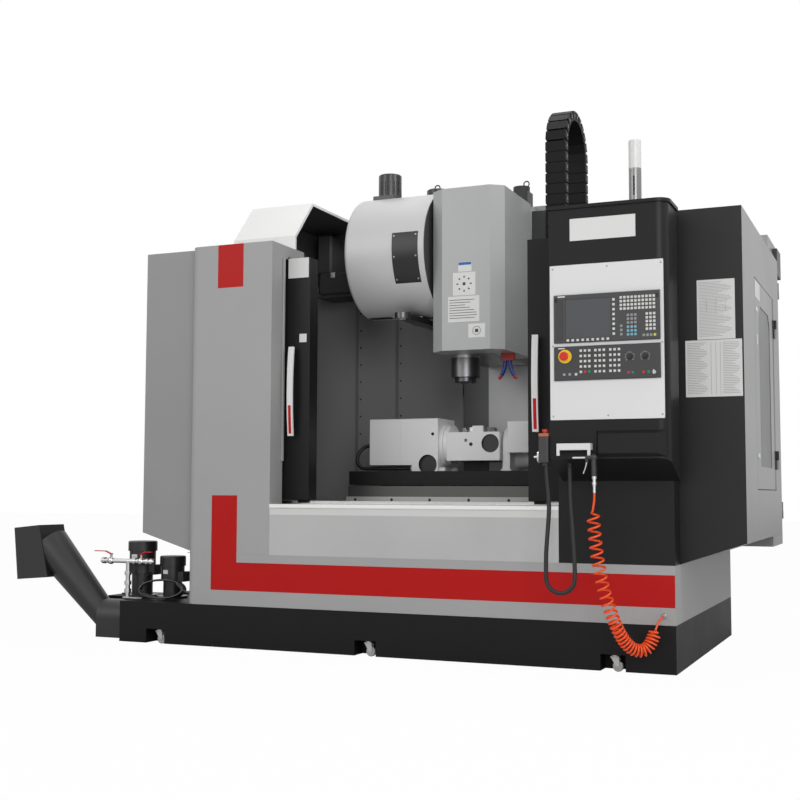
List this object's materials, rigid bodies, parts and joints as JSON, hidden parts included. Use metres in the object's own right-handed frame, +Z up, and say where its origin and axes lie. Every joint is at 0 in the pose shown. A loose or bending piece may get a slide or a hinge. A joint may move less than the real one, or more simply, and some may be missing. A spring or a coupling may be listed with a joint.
{
  "type": "machining center",
  "caption": "Vertical machining center with sliding front doors, enclosed work area, tilting rotary table, side tool magazine, control box and chip conveyor.",
  "frame": {"origin": "on the floor, directly under the spindle axis", "axes": "+X to the right along the front, +Y into the machine, +Z up"},
  "size_m": [4.12, 2.491, 3.0558],
  "materials": {
    "grey_paint": "satin grey paint",
    "black_paint": "satin black paint",
    "white_paint": "satin white paint",
    "pale_paint": "satin pale grey paint",
    "casting_paint": "painted casting",
    "pale_casting": "painted casting, pale",
    "dark_paint": "dark grey paint",
    "dark_steel": "dark sheet",
    "bright_steel": "bright steel",
    "dark_iron": "dark iron",
    "dark_plastic": "matte",
    "black_plastic": "matte",
    "pale_plastic": "translucent white",
    "red_plastic": "gloss",
    "orange_plastic": "gloss",
    "blue_plastic": "matte blue and red",
    "black_rubber": "matte"
  },
  "bodies": {
    "frame": {"coolant_tank": "dark_paint", "bed": "casting_paint", "base_skirt": "grey_paint", "front_sill": "white_paint", "door_track": "bright_steel", "left_column": "grey_paint", "right_column": "black_paint", "left_wing": "grey_paint", "right_wing": "grey_paint", "work_area_lining": "dark_steel", "column": "casting_paint", "electrical_cabinet": "grey_paint", "left_hood": "white_paint", "control_box": "black_paint", "control_plate": "white_paint", "display_unit": "dark_plastic", "machine_panel": "dark_plastic", "signal_lamp": "pale_plastic", "magazine_cover": "pale_paint", "magazine_frame": "casting_paint", "magazine_motor": "black_paint", "conveyor_housing": "black_paint", "coolant_pumps": "dark_paint", "pump_manifold": "bright_steel", "gun_bracket": "white_paint", "air_gun": "black_plastic", "air_hose": "orange_plastic", "pendant": "black_plastic", "pendant_cable": "black_rubber", "energy_chain": "black_plastic"},
    "saddle": {"saddle": "casting_paint"},
    "table": {"table": "dark_iron", "rotary_housing": "pale_casting", "rotary_tailstock": "pale_casting", "rotary_hose": "black_rubber"},
    "cradle": {"rotary_cradle": "pale_casting"},
    "platter": {"rotary_platter": "bright_steel"},
    "head": {"head_casting": "casting_paint", "head_cover": "pale_paint", "z_way_cover": "bright_steel", "coolant_nozzles": "blue_plastic"},
    "spindle": {"spindle": "bright_steel"},
    "left_door": {"left_door": "white_paint"},
    "right_door": {"right_door": "white_paint"},
    "side_door": {"side_door": "grey_paint"},
    "cabinet_door": {"cabinet_door": "grey_paint"},
    "tool_disc": {"tool_disc": "dark_iron"},
    "arm_shaft": {"arm_shaft": "bright_steel"},
    "swing_arm": {"swing_arm": "bright_steel"},
    "conveyor_screw": {"conveyor_screw": "dark_steel"},
    "valve_lever_1": {"valve_lever_1": "red_plastic"},
    "valve_lever_2": {"valve_lever_2": "red_plastic"},
    "gun_trigger": {"gun_trigger": "orange_plastic"},
    "pendant_dial": {"pendant_dial": "dark_plastic"},
    "e_stop": {"e_stop": "red_plastic"},
    "feed_knob": {"feed_override_knob": "black_plastic"},
    "spindle_knob": {"spindle_override_knob": "black_plastic"},
    "caster_1": {"caster_wheel_1": "black_rubber"},
    "caster_2": {"caster_wheel_2": "black_rubber"},
    "caster_3": {"caster_wheel_3": "black_rubber"}
  },
  "joints": [
    {"name": "y_axis", "type": "slide", "parent": "frame", "child": "saddle", "axis": [0, 1, 0], "range_m": [-0.26, 0.27]},
    {"name": "x_axis", "type": "slide", "parent": "saddle", "child": "table", "axis": [1, 0, 0], "range_m": [-0.5, 0.5]},
    {"name": "z_axis", "type": "slide", "parent": "frame", "child": "head", "axis": [0, 0, 1], "range_m": [-0.15, 0.36], "deforming": ["energy_chain"]},
    {"name": "spindle_spin", "type": "hinge", "parent": "head", "child": "spindle", "pos_m": [0, 0, 1.45], "axis": [0, 0, 1], "continuous": true},
    {"name": "cradle_tilt", "type": "hinge", "parent": "table", "child": "cradle", "pos_m": [0, 0, 1.085], "axis": [1, 0, 0], "range_deg": [-30, 100]},
    {"name": "platter_turn", "type": "hinge", "parent": "cradle", "child": "platter", "pos_m": [0.084, 0, 1.16], "axis": [0, 0, 1], "continuous": true},
    {"name": "left_door_slide", "type": "slide", "parent": "frame", "child": "left_door", "axis": [1, 0, 0], "range_m": [0, 0.625]},
    {"name": "right_door_slide", "type": "slide", "parent": "frame", "child": "right_door", "axis": [-1, 0, 0], "range_m": [0, 0.575]},
    {"name": "side_door_swing", "type": "hinge", "parent": "frame", "child": "side_door", "pos_m": [1.611, 0.562, 1.36], "axis": [0, 0, 1], "range_deg": [0, 110]},
    {"name": "cabinet_door_swing", "type": "hinge", "parent": "frame", "child": "cabinet_door", "pos_m": [1.546, 1.359, 1.4], "axis": [0, 0, 1], "range_deg": [-110, 0]},
    {"name": "disc_turn", "type": "hinge", "parent": "frame", "child": "tool_disc", "pos_m": [-0.5125, 0, 2.165], "axis": [1, 0, 0], "continuous": true},
    {"name": "arm_drop", "type": "slide", "parent": "frame", "child": "arm_shaft", "axis": [0, 0, -1], "range_m": [0, 0.115]},
    {"name": "arm_swing", "type": "hinge", "parent": "arm_shaft", "child": "swing_arm", "pos_m": [-0.27, 0, 1.79], "axis": [0, 0, 1], "range_deg": [-20, 20]},
    {"name": "conveyor_turn", "type": "hinge", "parent": "frame", "child": "conveyor_screw", "pos_m": [-2.09, -0.647, 0.28], "axis": [-0.71, 0, 0.7042], "continuous": true},
    {"name": "valve_1_turn", "type": "hinge", "parent": "frame", "child": "valve_lever_1", "pos_m": [-1.905, -0.64, 0.47], "axis": [0, 0, 1], "range_deg": [0, 90]},
    {"name": "valve_2_turn", "type": "hinge", "parent": "frame", "child": "valve_lever_2", "pos_m": [-1.7, -0.64, 0.47], "axis": [0, 0, 1], "range_deg": [-90, 0]},
    {"name": "trigger_pull", "type": "hinge", "parent": "frame", "child": "gun_trigger", "pos_m": [0.97, -1.084, 0.962], "axis": [0, 1, 0], "range_deg": [-12, 0], "stiffness_Nm_per_rad": 0.2},
    {"name": "pendant_dial_turn", "type": "hinge", "parent": "frame", "child": "pendant_dial", "pos_m": [0.73, -1.01, 0.985], "axis": [1, 0, 0], "continuous": true},
    {"name": "e_stop_press", "type": "slide", "parent": "frame", "child": "e_stop", "axis": [0, 1, 0], "range_m": [0, 0.005], "stiffness_N_per_m": 1200},
    {"name": "feed_knob_turn", "type": "hinge", "parent": "frame", "child": "feed_knob", "pos_m": [1.158, -1.045, 1.427], "axis": [0, 1, 0], "range_deg": [-135, 135]},
    {"name": "spindle_knob_turn", "type": "hinge", "parent": "frame", "child": "spindle_knob", "pos_m": [1.226, -1.045, 1.427], "axis": [0, 1, 0], "range_deg": [-135, 135]},
    {"name": "caster_1_roll", "type": "hinge", "parent": "frame", "child": "caster_1", "pos_m": [-1.476, -0.752, 0.025], "axis": [0, 1, 0], "continuous": true},
    {"name": "caster_2_roll", "type": "hinge", "parent": "frame", "child": "caster_2", "pos_m": [-0.229, -0.752, 0.025], "axis": [0, 1, 0], "continuous": true},
    {"name": "caster_3_roll", "type": "hinge", "parent": "frame", "child": "caster_3", "pos_m": [1.024, -0.752, 0.025], "axis": [0, 1, 0], "continuous": true}
  ]
}
